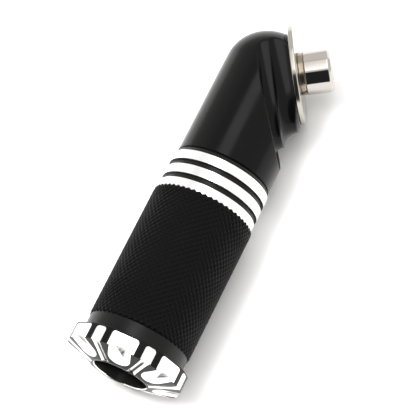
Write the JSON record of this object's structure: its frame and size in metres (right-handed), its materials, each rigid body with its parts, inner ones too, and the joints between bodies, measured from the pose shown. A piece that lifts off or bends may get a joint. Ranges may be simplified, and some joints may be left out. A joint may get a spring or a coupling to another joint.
{
  "type": "foot peg",
  "caption": "Motorcycle foot peg: knurled barrel with polished lands and a faceted end ring, on an oblique head with a bolt, washers and a stepped seat.",
  "frame": {"origin": "centre of the bolt seat, on the mounting bolt's axis, where the head's oblique face meets the bracket", "axes": "+X out of the seat along the mounting bolt; the barrel's axis lies in the XY plane and runs 120 degrees from +X, towards -Y; +Z is square to both axes and up when the peg lies level"},
  "size_m": [0.0824, 0.1085, 0.035],
  "materials": {
    "gloss_black_anodised": "gloss black anodised",
    "satin_black_anodised": "satin black anodised, knurled",
    "contrast_cut_ring": "satin black anodised with bright cut facets",
    "cut_aluminium": "bright turned lands with black anodised grooves",
    "nickel_plate": "polished nickel plate",
    "chrome_plate": "bright chrome plate",
    "plain_steel": "zinc plated",
    "black_oxide_steel": "black oxide"
  },
  "bodies": {
    "peg": {"mount_head": "gloss_black_anodised", "seat_insert": "plain_steel", "ring_collar": "cut_aluminium", "knurled_sleeve": "satin_black_anodised", "end_ring": "contrast_cut_ring", "centre_washer": "plain_steel", "centre_bolt": "black_oxide_steel", "head_pins": "plain_steel", "end_pin": "plain_steel"},
    "washers": {"flat_washer": "nickel_plate", "lock_washer": "nickel_plate"},
    "bolt": {"mount_bolt": "chrome_plate"}
  },
  "joints": [
    {"name": "bolt_travel", "type": "slide", "parent": "peg", "child": "washers", "axis": [1, 0, 0], "range_m": [0, 0.01]},
    {"name": "bolt_turn", "type": "hinge", "parent": "washers", "child": "bolt", "pos_m": [0, 0, 0], "axis": [1, 0, 0], "range_deg": [0, 2880]}
  ],
  "couplings": [
    {"joint": "bolt_turn", "follows": "bolt_travel", "rad_per_m": 5026.5}
  ]
}
